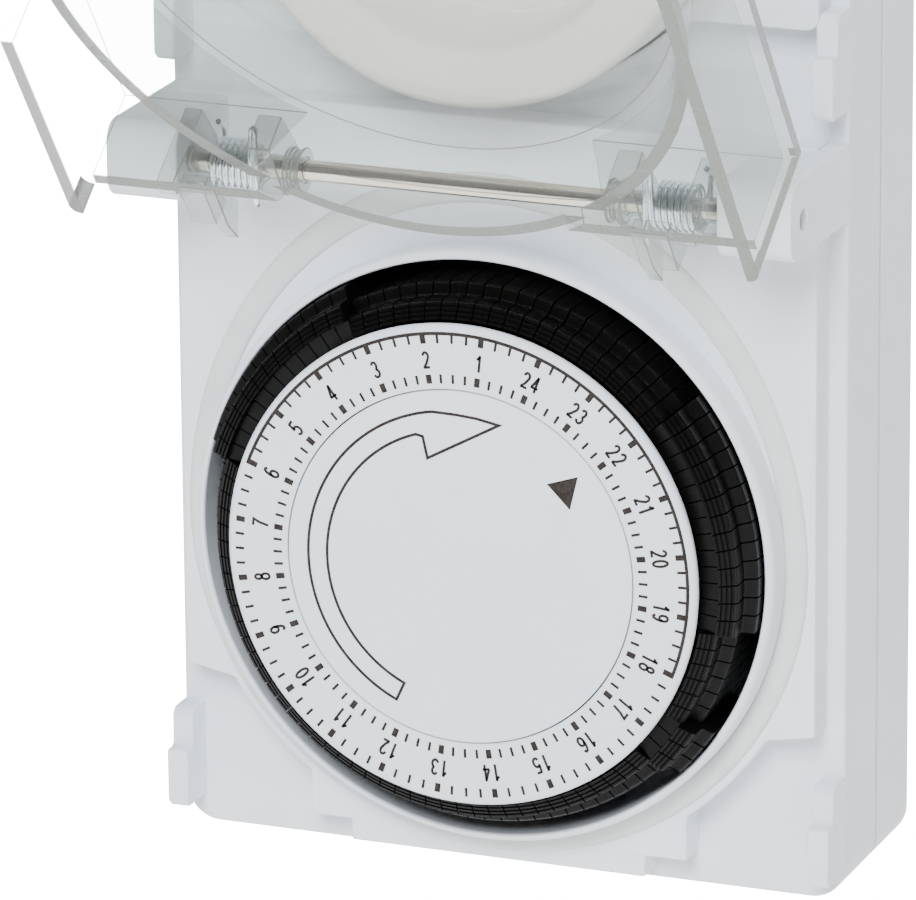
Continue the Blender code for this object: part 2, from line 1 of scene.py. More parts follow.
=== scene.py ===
"""Looks of the outdoor plug-through timer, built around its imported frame.

Lengths are millimetres in the dial frame, as in the part's own source: X to the right, Y into the
housing, Z up, from the centre of the dial's printed face. place() takes them to the row frame.
"""
import math

import bmesh
import bpy
from mathutils import Matrix, Vector


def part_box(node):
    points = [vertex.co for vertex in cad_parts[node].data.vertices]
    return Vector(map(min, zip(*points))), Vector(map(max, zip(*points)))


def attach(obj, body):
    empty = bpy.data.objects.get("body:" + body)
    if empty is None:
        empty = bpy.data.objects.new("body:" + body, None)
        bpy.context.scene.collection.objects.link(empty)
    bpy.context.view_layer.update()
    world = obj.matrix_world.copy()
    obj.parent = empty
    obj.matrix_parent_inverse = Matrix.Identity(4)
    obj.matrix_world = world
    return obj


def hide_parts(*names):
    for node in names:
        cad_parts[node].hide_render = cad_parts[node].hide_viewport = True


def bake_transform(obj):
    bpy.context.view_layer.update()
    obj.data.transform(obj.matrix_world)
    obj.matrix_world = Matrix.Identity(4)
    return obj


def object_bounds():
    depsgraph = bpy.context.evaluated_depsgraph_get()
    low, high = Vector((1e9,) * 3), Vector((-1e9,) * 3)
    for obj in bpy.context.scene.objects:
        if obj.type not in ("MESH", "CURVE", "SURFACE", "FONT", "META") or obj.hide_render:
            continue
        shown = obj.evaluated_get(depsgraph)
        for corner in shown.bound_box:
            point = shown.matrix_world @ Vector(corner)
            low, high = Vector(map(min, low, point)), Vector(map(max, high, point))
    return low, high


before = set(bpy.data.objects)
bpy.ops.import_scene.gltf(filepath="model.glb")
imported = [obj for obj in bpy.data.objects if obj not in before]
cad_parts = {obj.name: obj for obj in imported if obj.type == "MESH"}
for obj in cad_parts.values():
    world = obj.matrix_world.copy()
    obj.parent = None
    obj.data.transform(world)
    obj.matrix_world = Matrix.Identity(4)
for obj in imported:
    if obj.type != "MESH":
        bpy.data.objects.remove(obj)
cad_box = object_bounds()

MM = 0.001

# Housing
HALF_WIDTH = 39.85
BOTTOM, TOP = -39.4, 137.0
CORNER = 4.0
WALL = 2.0
PLATE_Y, PLATE_BACK_Y = 11.0, 14.0
BASE_Y = 15.2
SEAM_Y = 26.6
BACK_Y = 37.5
PLATE_HALF = 37.7
PLATE_FOOT_Z = -19.0
TAB_HALF, TAB_FOOT_Z = 22.65, -35.4
STEM_HALF, STEM_FOOT_Z = 17.7, -37.95
UPPER_PLATE_Z = 61.5
LIP_IN, LIP_OUT, LIP_Y = 33.3, 34.3, 6.63
DIAL_WINDOW_HALF, DIAL_WINDOW_Z = 35.4, (-16.8, 37.2)
SOCKET_WINDOW_R = 27.5

# Hinges and lids
HINGE_Y, HINGE_Z = 0.49, 43.65
STATION_PITCH = 88.1
KNUCKLE_X = (31.4, HALF_WIDTH)
ROD_R, BORE_R = 1.2, 1.4
OPEN_ANGLE = 143.5
LID_HALF, LID_WALL = 39.8, 1.5
LID_CORNER = 1.3
LID_U = (5.6, 83.2)
LID_FRONT, LID_RIM, LID_END_RIM, LID_TOP_RIM = 4.0, -13.1, -9.8, -8.8
LID_HOLLOW_Y = LID_WALL - LID_FRONT
LUG_NOTCH_U, LUG_NOTCH_N, LUG_NOTCH_X = (66.0, 82.2), -8.6, 37.2
DRUM_U = 43.65
DRUM_WALL = 1.5
DRUM_SIDE, DRUM_TOP, DRUM_TAPER = 34.8, 41.7, 2.1
DRUM_ROOT_N, DRUM_RIM_N = 3.9, -6.7

# Dial and tappets
DISC_R = 27.75
GAP_R = 20.4
RING_GAP = 0.09
TAPPETS = 96
TAPPET_TRAVEL = 1.8
PRINT_TURN = -21.07
PRINT_Y, PRINT_BACK_Y = -0.02, 0.02
PUSHED_OUT = ((3.25, 6.25), (16.5, 17.25), (18.75, 22.0))
SINGLE_HOURS = (3.0, 6.25, 16.25, 17.25, 18.5, 22.0)

# Socket and plug
SOCKET_Z = 79.0
PIN_X, PIN_R, PIN_LENGTH = 9.5, 2.4, 19.0
RECESS_R, RECESS_FLOOR_Y = 20.3, 15.3
BOSS_R, BOSS_END_Y = 18.2, 54.0
SCREW_X, SCREW_ZS = 33.6, (-33.8, 131.0)

disc_low, disc_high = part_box("centre_disc")
DIAL = Vector(((disc_low.x + disc_high.x) / 2, disc_low.y, (disc_low.z + disc_high.z) / 2))
TO_ROW = Matrix.Translation(DIAL) @ Matrix.Scale(MM, 4)


# ---------------------------------------------------------------- materials

class Nodes:
    """A node tree with short calls for the nodes that the materials below share."""

    def __init__(self, tree):
        self.tree = tree

    def add(self, kind, **settings):
        made = self.tree.nodes.new(kind)
        for key, value in settings.items():
            setattr(made, key, value)
        return made

    def link(self, output, target):
        self.tree.links.new(output, target)

    def noise(self, scale, detail=3.0, stretch=None, roughness=0.5):
        """Noise over the piece's own place, in features per metre."""
        coordinates = self.add("ShaderNodeTexCoord").outputs["Object"]
        if stretch:
            mapping = self.add("ShaderNodeMapping")
            mapping.inputs["Scale"].default_value = stretch
            self.link(coordinates, mapping.inputs["Vector"])
            coordinates = mapping.outputs["Vector"]
        made = self.add("ShaderNodeTexNoise")
        made.inputs["Scale"].default_value = scale
        made.inputs["Detail"].default_value = detail
        made.inputs["Roughness"].default_value = roughness
        self.link(coordinates, made.inputs["Vector"])
        return made.outputs["Fac"]

    def spread(self, value, low, high, start=0.3, end=0.7):
        """The part of a value between start and end, taken to low..high."""
        made = self.add("ShaderNodeMapRange")
        for key, number in (("From Min", start), ("From Max", end), ("To Min", low), ("To Max", high)):
            made.inputs[key].default_value = number
        self.link(value, made.inputs["Value"])
        return made.outputs["Result"]

    def mix(self, factor, first, second):
        """Colour between two, each a colour or an output."""
        made = self.add("ShaderNodeMix", data_type="RGBA")
        self.link(factor, made.inputs["Factor"])
        for socket, colour in ((made.inputs[6], first), (made.inputs[7], second)):
            if isinstance(colour, tuple):
                socket.default_value = (*colour, 1.0)
            else:
                self.link(colour, socket)
        return made.outputs[2]


def blank(name):
    made = bpy.data.materials.new(name)
    made.use_nodes = True
    return made, Nodes(made.node_tree), made.node_tree.nodes["Principled BSDF"]


def tint(colour, factor):
    return tuple(min(1.0, c * factor) for c in colour)


def bumped(nodes, shader, height, distance, strength):
    bump = nodes.add("ShaderNodeBump")
    bump.inputs["Distance"].default_value = distance
    bump.inputs["Strength"].default_value = strength
    nodes.link(height, bump.inputs["Height"])
    nodes.link(bump.outputs["Normal"], shader.inputs["Normal"])


def plastic(name, colour, roughness, grain=2600.0, grain_strength=0.25, lighter_edge_factor=1.06):
    """Moulded plastic: faint clouding, fine grain, and convex edges made a little lighter."""
    made, nodes, shader = blank(name)
    clouds = nodes.spread(nodes.noise(55.0, 4.0), 0.0, 1.0)
    base = nodes.mix(clouds, tint(colour, 0.975), tint(colour, 1.015))
    # Convex edges, found by pointiness, are made a little lighter in colour.
    edges = nodes.spread(nodes.add("ShaderNodeNewGeometry").outputs["Pointiness"], 0.0, 1.0, 0.52, 0.62)
    nodes.link(nodes.mix(edges, base, tint(colour, lighter_edge_factor)), shader.inputs["Base Color"])
    nodes.link(nodes.spread(nodes.noise(420.0, 2.0), roughness - 0.06, roughness + 0.06),
               shader.inputs["Roughness"])
    bumped(nodes, shader, nodes.noise(grain, 2.0), 0.00002, grain_strength)
    return made


def metal(name, colour, other, roughness, stretch, scale=900.0):
    """Drawn or plated metal: fine streaks along it and a colour that shifts a little."""
    made, nodes, shader = blank(name)
    patches = nodes.spread(nodes.noise(130.0, 3.0), 0.0, 1.0)
    nodes.link(nodes.mix(patches, colour, other), shader.inputs["Base Color"])
    streaks = nodes.noise(scale, 3.0, stretch)
    nodes.link(nodes.spread(streaks, roughness - 0.08, roughness + 0.1), shader.inputs["Roughness"])
    bumped(nodes, shader, streaks, 0.000015, 0.3)
    shader.inputs["Metallic"].default_value = 1.0
    return made


def print_ink():
    """Pad-printed ink, a little thin in places."""
    made, nodes, shader = blank("dial_print")
    thin = nodes.spread(nodes.noise(2400.0, 3.0), 0.0, 1.0, 0.35, 0.75)
    nodes.link(nodes.mix(thin, (0.022, 0.017, 0.015), (0.045, 0.036, 0.033)),
               shader.inputs["Base Color"])
    nodes.link(nodes.spread(nodes.noise(900.0), 0.45, 0.65), shader.inputs["Roughness"])
    bumped(nodes, shader, nodes.noise(3500.0, 2.0), 0.00001, 0.3)
    return made


def rubber():
    """Soft moulded sealing foam: warm, matt and finely pitted."""
    made, nodes, shader = blank("seal_rubber")
    clouds = nodes.spread(nodes.noise(140.0, 4.0), 0.0, 1.0)
    nodes.link(nodes.mix(clouds, (0.66, 0.665, 0.65), (0.73, 0.735, 0.72)),
               shader.inputs["Base Color"])
    nodes.link(nodes.spread(nodes.noise(700.0), 0.42, 0.6), shader.inputs["Roughness"])
    bumped(nodes, shader, nodes.noise(1500.0, 4.0), 0.00004, 0.3)
    shader.inputs["Subsurface Weight"].default_value = 0.25
    shader.inputs["Subsurface Radius"].default_value = (1.0, 0.97, 0.9)
    shader.inputs["Subsurface Scale"].default_value = 0.002
    return made


WALL_TINT = (0.905, 0.915, 0.905)


def see_through(name, colour, facing, grazing, metallic, roughness, wave, one_sided=True):
    """Clear moulding: see-through face on, mirror-like at a glance, and no hard shadow.

    A one-sided look is see-through wherever the face is met from within the wall."""
    made, nodes, shader = blank(name)
    flow = nodes.noise(38.0, 2.0)
    nodes.link(nodes.mix(nodes.spread(flow, 0.0, 1.0), tint(colour, 0.96), tint(colour, 1.03)),
               shader.inputs["Base Color"])
    nodes.link(nodes.spread(nodes.noise(300.0, 3.0), roughness, roughness + 0.05),
               shader.inputs["Roughness"])
    bumped(nodes, shader, flow, 0.0004, wave)
    shader.inputs["Metallic"].default_value = metallic
    through = nodes.add("ShaderNodeBsdfTransparent")
    through.inputs["Color"].default_value = (*WALL_TINT, 1.0)
    glance = nodes.add("ShaderNodeLayerWeight")
    glance.inputs["Blend"].default_value = 0.35
    cover = nodes.spread(glance.outputs["Fresnel"], facing, grazing, 0.06, 0.9)
    hidden = nodes.add("ShaderNodeMath", operation="MAXIMUM")
    hidden.inputs[1].default_value = 0.0
    nodes.link(nodes.add("ShaderNodeLightPath").outputs["Is Shadow Ray"], hidden.inputs[0])
    if one_sided:
        nodes.link(nodes.add("ShaderNodeNewGeometry").outputs["Backfacing"], hidden.inputs[1])
    lit = nodes.add("ShaderNodeMath", operation="SUBTRACT")
    lit.inputs[0].default_value = 1.0
    nodes.link(hidden.outputs["Value"], lit.inputs[1])
    share = nodes.add("ShaderNodeMath", operation="MULTIPLY")
    nodes.link(cover, share.inputs[0])
    nodes.link(lit.outputs["Value"], share.inputs[1])
    body = nodes.add("ShaderNodeMixShader")
    nodes.link(share.outputs["Value"], body.inputs["Fac"])
    nodes.link(through.outputs["BSDF"], body.inputs[1])
    nodes.link(shader.outputs["BSDF"], body.inputs[2])
    output = next(n for n in made.node_tree.nodes if n.type == "OUTPUT_MATERIAL")
    nodes.link(body.outputs["Shader"], output.inputs["Surface"])
    return made


WHITE = plastic("housing_white", (0.785, 0.815, 0.86), 0.44)
CREAM = plastic("socket_white", (0.86, 0.825, 0.775), 0.34, grain_strength=0.08)
PRINTED = plastic("dial_white", (0.785, 0.82, 0.87), 0.42, 3200.0, 0.2, 1.02)
BLACK = plastic("tappet_black", (0.0022, 0.002, 0.0018), 0.34, 3000.0, 0.35, 1.6)
GREY = plastic("chassis_grey", (0.30, 0.31, 0.32), 0.5)
GEAR = plastic("gear_cream", (0.76, 0.73, 0.66), 0.4)
RUBBER = rubber()
CLEAR = see_through("lid_clear", (0.80, 0.82, 0.80), 0.08, 0.7, 0.6, 0.03, 0.12)
# Lid rims and edge strips: the tint of a wall seen along its length, plus painted shade standing in for
# what refraction would show.
EDGE_TINT_AND_SHADE = (0.20, 0.208, 0.185)
CLEAR_STRIP = see_through("lid_clear_strip", EDGE_TINT_AND_SHADE, 0.9, 1.0, 0.0, 0.25, 0.3)
CLEAR_RIM = see_through("lid_clear_rim", EDGE_TINT_AND_SHADE, 0.985, 1.0, 0.0, 0.25, 0.3, False)
CLEAR_THICK = see_through("lid_clear_thick", (0.60, 0.62, 0.60), 0.22, 0.8, 0.4, 0.05, 0.3)
INK = print_ink()
for dark in (BLACK, INK):
    dark.node_tree.nodes["Principled BSDF"].inputs["Specular IOR Level"].default_value = 0.12
STEEL = metal("bright_steel", (0.90, 0.79, 0.68), (0.95, 0.86, 0.77), 0.2, (0.05, 1.0, 1.0))
TIN = metal("motor_steel", (0.60, 0.61, 0.62), (0.68, 0.69, 0.70), 0.3, (1.0, 0.08, 1.0))
PIN = metal("pin_nickel", (0.66, 0.64, 0.60), (0.74, 0.72, 0.68), 0.2, (1.0, 0.05, 1.0))
ZINC = metal("zinc_steel", (0.76, 0.81, 0.86), (0.86, 0.9, 0.94), 0.2, (0.3, 1.0, 1.0), 1500.0)
BRASS = metal("contact_brass", (0.72, 0.53, 0.25), (0.80, 0.61, 0.31), 0.26, (1.0, 0.1, 0.2))


# ---------------------------------------------------------------- shapes, in millimetres

def solid(bm, name="work", at=(0.0, 0.0, 0.0)):
    """A bmesh, in millimetres round the point at, as an object to work on."""
    bmesh.ops.recalc_face_normals(bm, faces=bm.faces)
    mesh = bpy.data.meshes.new(name)
    bm.to_mesh(mesh)
    bm.free()
    obj = bpy.data.objects.new(name, mesh)
    obj.location = at
    bpy.context.scene.collection.objects.link(obj)
    return obj


def baked(obj):
    """Take an object's modifiers into its mesh."""
    bpy.context.view_layer.update()
    graph = bpy.context.evaluated_depsgraph_get()
    result = bpy.data.meshes.new_from_object(obj.evaluated_get(graph))
    obj.modifiers.clear()
    obj.data = result


def boolean(target, operation, tool):
    modifier = target.modifiers.new(operation.lower(), "BOOLEAN")
    modifier.operation = operation
    modifier.solver = "EXACT"
    modifier.object = tool
    baked(target)
    bpy.data.objects.remove(tool, do_unlink=True)


def cut(target, *tools):
    for tool in tools:
        boolean(target, "DIFFERENCE", solid(tool, at=target.location))


def join(target, *tools):
    for tool in tools:
        boolean(target, "UNION", solid(tool, at=target.location))


def soften(obj, width, segments=2, angle=32.0, edge_slot=-1):
    """Round the sharp edges of a finished solid; the new faces can take a slot of their own."""
    bm = bmesh.new()
    bm.from_mesh(obj.data)
    bmesh.ops.dissolve_limit(bm, angle_limit=math.radians(0.3), verts=bm.verts, edges=bm.edges,
                             delimit={"MATERIAL"})
    bm.to_mesh(obj.data)
    bm.free()
    rounding = obj.modifiers.new("rounding", "BEVEL")
    rounding.width = width
    rounding.segments = segments
    rounding.limit_method = "ANGLE"
    rounding.angle_limit = math.radians(angle)
    rounding.use_clamp_overlap = False
    rounding.miter_outer = "MITER_ARC"
    rounding.material = edge_slot
    baked(obj)


def place(obj, name, material, body, replaces=(), smooth=40.0, weighted=True):
    """Finish a worked solid: name it, shade it, take it to the row frame and let it ride."""
    obj.name = name
    obj.data.name = name
    if not obj.data.materials:
        obj.data.materials.append(material)
    obj.data.shade_smooth()
    obj.data.set_sharp_from_angle(angle=math.radians(smooth))
    if weighted:
        normals = obj.modifiers.new("normals", "WEIGHTED_NORMAL")
        normals.keep_sharp = True
        baked(obj)
    bpy.context.view_layer.update()
    obj.data.transform(TO_ROW @ obj.matrix_world)
    obj.matrix_world = Matrix.Identity(4)
    if body:
        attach(obj, body)
    if replaces:
        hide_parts(*replaces)
    return obj


def stack(*outlines):
    """Closed solid through outlines that have the same number of 3-D points."""
    bm = bmesh.new()
    rings = [[bm.verts.new(p) for p in outline] for outline in outlines]
    bm.faces.new(rings[0])
    bm.faces.new(rings[-1])
    for ring, following in zip(rings, rings[1:]):
        for i in range(len(ring)):
            j = (i + 1) % len(ring)
            bm.faces.new((ring[i], ring[j], following[j], following[i]))
    return bm


def prism(outline, y0, y1):
    return stack([(x, y0, z) for x, z in outline], [(x, y1, z) for x, z in outline])


def side_prism(outline, x0, x1):
    return stack([(x0, y, z) for y, z in outline], [(x1, y, z) for y, z in outline])


def block(x0, x1, y0, y1, z0, z1):
    return prism([(x0, z0), (x1, z0), (x1, z1), (x0, z1)], y0, y1)


def arc(cx, cz, rx, rz, start, end, steps):
    """Points of an elliptic arc, angles in degrees from +X towards +Z."""
    angles = [math.radians(start + (end - start) * i / steps) for i in range(steps + 1)]
    return [(cx + rx * math.cos(a), cz + rz * math.sin(a)) for a in angles]


def rounded_rectangle(x0, x1, z0, z1, radius, steps=8):
    outline = []
    for cx, cz, start in ((x1 - radius, z1 - radius, 0), (x0 + radius, z1 - radius, 90),
                          (x0 + radius, z0 + radius, 180), (x1 - radius, z0 + radius, 270)):
        outline += arc(cx, cz, radius, radius, start, start + 90, steps)
    return outline


def turned(profile, segments=72, at=(0.0, 0.0), turn=360.0, start=0.0):
    """Profile of (radius, y) points turned round the Y axis through at; part turns are capped."""
    full = turn >= 360.0
    steps = segments if full else max(1, round(segments * turn / 360.0))
    bm = bmesh.new()
    made = []
    for i in range(steps if full else steps + 1):
        a = math.radians(start + turn * i / steps)
        made.append([bm.verts.new((r * math.cos(a) + at[0], y, r * math.sin(a) + at[1]))
                     for r, y in profile])
    for i in range(steps):
        ring, following = made[i], made[(i + 1) % len(made)]
        for j in range(len(profile)):
            k = (j + 1) % len(profile)
            if profile[j][0] > 0.0 or profile[k][0] > 0.0:
                bm.faces.new((ring[j], ring[k], following[k], following[j]))
    if not full:
        bm.faces.new(made[0])
        bm.faces.new(made[-1])
    bmesh.ops.remove_doubles(bm, verts=bm.verts, dist=1e-4)
    bmesh.ops.dissolve_degenerate(bm, dist=1e-5, edges=bm.edges)
    return bm


def disc(radius, y0, y1, at=(0.0, 0.0), segments=48):
    return prism([(x + at[0], z + at[1]) for x, z in
                  arc(0.0, 0.0, radius, radius, 0, 360, segments)[:-1]], y0, y1)


def cross_pin(radius, x0, x1, y, z, segments=32):
    """Round bar or hole along X."""
    return side_prism([(y + radius * math.cos(math.tau * i / segments),
                        z + radius * math.sin(math.tau * i / segments))
                       for i in range(segments)], x0, x1)


def both(outline):
    return outline + [(-x, z) for x, z in reversed(outline)]


def hour_angle(hour):
    return 90.0 + PRINT_TURN + 15.0 * hour


def merged(parts):
    """Several bmeshes as one."""
    whole = bmesh.new()
    for bm in parts:
        bmesh.ops.recalc_face_normals(bm, faces=bm.faces)
        mesh = bpy.data.meshes.new("part")
        bm.to_mesh(mesh)
        bm.free()
        whole.from_mesh(mesh)
        bpy.data.meshes.remove(mesh)
    return whole


def wire(points, radius, sides=10):
    """Round wire along a line of 3-D points, closed at both ends."""
    bm = bmesh.new()
    line = [Vector(p) for p in points]
    rings, side = [], None
    for i, point in enumerate(line):
        ahead = (line[min(i + 1, len(line) - 1)] - line[max(i - 1, 0)]).normalized()
        if side is None:
            side = ahead.orthogonal().normalized()
        side = (side - ahead * side.dot(ahead)).normalized()
        up = ahead.cross(side)
        rings.append([bm.verts.new(point + (side * math.cos(math.tau * k / sides)
                                            + up * math.sin(math.tau * k / sides)) * radius)
                      for k in range(sides)])
    for ring, following in zip(rings, rings[1:]):
        for k in range(sides):
            m = (k + 1) % sides
            bm.faces.new((ring[k], ring[m], following[m], following[k]))
    bm.faces.new(rings[0])
    bm.faces.new(rings[-1])
    return bm


# ---------------------------------------------------------------- housing

def egg(side, top, bottom, steps=40):
    return (arc(0.0, 0.0, side, top, 0, 180, steps)[:-1]
            + arc(0.0, 0.0, side, bottom, 180, 360, steps)[:-1])


def lower_plate_outline():
    side_angle = math.degrees(math.asin(PLATE_FOOT_Z / PLATE_HALF))
    tab_angle = -math.degrees(math.acos(TAB_HALF / PLATE_HALF))
    right = [(PLATE_HALF, 48.5), (PLATE_HALF, PLATE_FOOT_Z)]
    right += arc(0.0, 0.0, PLATE_HALF, PLATE_HALF, side_angle, tab_angle, 12)[1:]
    right += [(TAB_HALF, TAB_FOOT_Z), (STEM_HALF, TAB_FOOT_Z), (STEM_HALF, STEM_FOOT_Z)]
    return both(right)


def lug_outline(shift):
    points = [(16.0, -24.7), (12.1, -24.7), (11.3, -25.5), (11.3, -29.2),
              (9.6, -29.2), (9.6, -35.5), (10.4, -36.3), (16.0, -36.3)]
    return [(y, z + shift) for y, z in points]


def knuckle_outline(shift):
    radius, front, low, high = 2.4, -3.8, 39.4, 48.2
    upper = arc(front + radius, high - radius, radius, radius, 90, 180, 8)
    lower = arc(front + radius, low + radius, radius, radius, 180, 270, 8)
    return [(y, z + shift) for y, z in upper + lower + [(16.5, low), (16.5, high)]]


def gathered(*parts):
    """Several worked solids as one object."""
    whole = bmesh.new()
    for part in parts:
        part.data.transform(part.matrix_world)
        whole.from_mesh(part.data)
        bpy.data.objects.remove(part, do_unlink=True)
    return solid(whole)


def make_front_cover():
    """Base, raised plates, lip, lugs and knuckles, each rounded and then set together."""
    base = solid(prism(rounded_rectangle(-HALF_WIDTH, HALF_WIDTH, BOTTOM, TOP, CORNER),
                       BASE_Y, SEAM_Y - 0.4))
    cut(base, prism(rounded_rectangle(WALL - HALF_WIDTH, HALF_WIDTH - WALL, BOTTOM + WALL,
                                      TOP - WALL, CORNER - WALL), BASE_Y + WALL, SEAM_Y + 1.0),
        block(-DIAL_WINDOW_HALF, DIAL_WINDOW_HALF, BASE_Y - 1.0, BASE_Y + WALL + 0.4, *DIAL_WINDOW_Z),
        disc(LIP_IN, BASE_Y - 1.0, SEAM_Y, segments=144),
        disc(SOCKET_WINDOW_R, BASE_Y - 1.0, SEAM_Y, (0.0, SOCKET_Z), 96))
    soften(base, 0.45, 3)
    lower = solid(prism(lower_plate_outline(), PLATE_Y, BASE_Y + 0.8))
    cut(lower, block(-DIAL_WINDOW_HALF, DIAL_WINDOW_HALF, PLATE_BACK_Y, BASE_Y + 2.0, *DIAL_WINDOW_Z),
        disc(LIP_IN, PLATE_Y - 1.0, SEAM_Y, segments=144))
    soften(lower, 0.28, 3)
    upper = solid(prism(rounded_rectangle(-PLATE_HALF, PLATE_HALF, UPPER_PLATE_Z, TOP - 1.0, 1.5, 4),
                        PLATE_Y, BASE_Y + 0.8))
    cut(upper, disc(SOCKET_WINDOW_R, PLATE_Y - 1.0, SEAM_Y, (0.0, SOCKET_Z), 96))
    soften(upper, 0.28, 3)
    rolled = [(0.0, 0.3), (0.06, 0.1), (0.2, 0.0), (0.4, 0.03), (0.62, 0.15), (0.82, 0.38),
              (0.95, 0.68), (1.0, 1.0)]
    lip = turned([(LIP_IN, SEAM_Y - 4.0)] + [(LIP_IN + r, LIP_Y + y) for r, y in rolled]
                 + [(LIP_OUT, SEAM_Y - 4.0)], 144)
    parts = [base, lower, upper, solid(lip)]
    for shift in (0.0, STATION_PITCH):
        for side in (-1, 1):
            lug = solid(side_prism(lug_outline(shift), side * 37.3, side * (HALF_WIDTH - 0.02)))
            soften(lug, 0.4, 3)
            knuckle = solid(side_prism(knuckle_outline(shift), side * KNUCKLE_X[0],
                                       side * (KNUCKLE_X[1] - 0.02)))
            cut(knuckle, cross_pin(BORE_R, side * 30.0, side * 37.4, HINGE_Y, HINGE_Z + shift),
                cross_pin(ROD_R, side * 36.0, side * 41.0, HINGE_Y, HINGE_Z + shift, 24))
            soften(knuckle, 0.25, 3)
            parts += [lug, knuckle]
    for x0, x1, z0, z1 in ((26.9, 37.5, -29.35, -29.2), (26.6, 26.75, BOTTOM + 0.6, -29.3),
                           (-38.0, -27.2, -36.45, -36.3), (-26.75, -26.6, BOTTOM + 0.6, -36.4)):
        parts.append(solid(block(x0, x1, BASE_Y - 0.05, BASE_Y + 0.3, z0, z1)))
    for x in (-SCREW_X, SCREW_X):
        for z in SCREW_ZS:
            parts.append(solid(disc(4.3, BASE_Y + 1.0, SEAM_Y - 0.7, (x, z), 32)))
    place(gathered(*parts), "front_cover_moulding", WHITE, "housing", ("front_cover",))


def make_rear_cover():
    cover = solid(prism(rounded_rectangle(-HALF_WIDTH, HALF_WIDTH, BOTTOM, TOP, CORNER),
                        SEAM_Y + 0.4, BACK_Y))
    join(cover, disc(BOSS_R, BACK_Y - 1.0, BOSS_END_Y, (0.0, SOCKET_Z), 96))
    cut(cover, prism(rounded_rectangle(WALL - HALF_WIDTH, HALF_WIDTH - WALL, BOTTOM + WALL,
                                       TOP - WALL, CORNER - WALL), SEAM_Y - 1.0, BACK_Y - WALL),
        disc(BOSS_R - 2.2, BACK_Y - 3.0, BOSS_END_Y - 2.5, (0.0, SOCKET_Z), 96))
    for side in (-1, 1):
        z = sorted((SOCKET_Z + side * 14.0, SOCKET_Z + side * 20.0))
        cut(cover, disc(PIN_R + 0.3, BACK_Y, BOSS_END_Y + 1.0, (side * PIN_X, SOCKET_Z), 40),
            block(-3.4, 3.4, 44.5, BOSS_END_Y + 1.0, z[0], z[1]))
    for x in (-SCREW_X, SCREW_X):
        for z in SCREW_ZS:
            cut(cover, disc(3.3, BACK_Y - 3.0, BACK_Y + 1.0, (x, z), 40))
    soften(cover, 0.35)
    place(cover, "rear_cover_moulding", WHITE, "housing", ("rear_cover",))


def make_gasket():
    """Soft ring round the dial: a low rounded bead on the plate, close to the lip."""
    section = [(0.0, 11.3), (0.0, 10.9), (0.04, 10.7), (0.12, 10.54), (0.24, 10.43), (0.4, 10.38),
               (0.6, 10.38), (0.76, 10.43), (0.88, 10.54), (0.96, 10.7), (1.0, 10.9), (1.0, 11.3)]
    bm = bmesh.new()
    loops = []
    for t, y in section:
        outline = egg(36.9 - 2.7 * t, 42.2 - 3.4 * t, 36.7 - 2.5 * t, 64)
        loops.append([bm.verts.new((x, y, z)) for x, z in outline])
    for loop, following in zip(loops, loops[1:] + loops[:1]):
        for i in range(len(loop)):
            j = (i + 1) % len(loop)
            bm.faces.new((loop[i], loop[j], following[j], following[i]))
    place(solid(bm), "dial_gasket_ring", RUBBER, "housing", ("dial_gasket",),
          weighted=False)


def make_cover_screws():
    head_y = BACK_Y - 2.6 + 0.3
    for number, (x, z) in enumerate(((x, z) for z in SCREW_ZS for x in (-SCREW_X, SCREW_X)), 1):
        screw = solid(turned([(0.0, 19.5), (1.2, 19.5), (1.5, 20.2), (1.5, head_y), (2.7, head_y),
                              (2.9, head_y + 0.3), (2.8, head_y + 1.0), (2.2, head_y + 1.45),
                              (0.0, head_y + 1.6)], 40, (x, z)))
        cut(screw, block(x - 1.9, x + 1.9, head_y + 0.7, head_y + 3.0, z - 0.35, z + 0.35),
            block(x - 0.35, x + 0.35, head_y + 0.7, head_y + 3.0, z - 1.9, z + 1.9))
        place(screw, f"cover_screw_{number}_turned", ZINC, "housing", (f"cover_screw_{number}",))


# ---------------------------------------------------------------- lids and hinges

def lid_box(x0, x1, u0, u1, n0, n1):
    return block(x0, x1, -n1, -n0, -u1, -u0)


def drum_outline(n, inset, steps=48):
    """The drum's section at depth n: half round, half drawn out, and wider towards its rim."""
    drawn = (1.9 - n) / 8.1
    side = DRUM_SIDE + DRUM_TAPER * drawn - inset
    top = DRUM_TOP + DRUM_TAPER * drawn - inset
    return [(x, -n, z) for x, z in arc(0.0, -DRUM_U, side, top, 0, 180, steps)[:-1]
            + arc(0.0, -DRUM_U, side, side, 180, 360, steps)[:-1]]


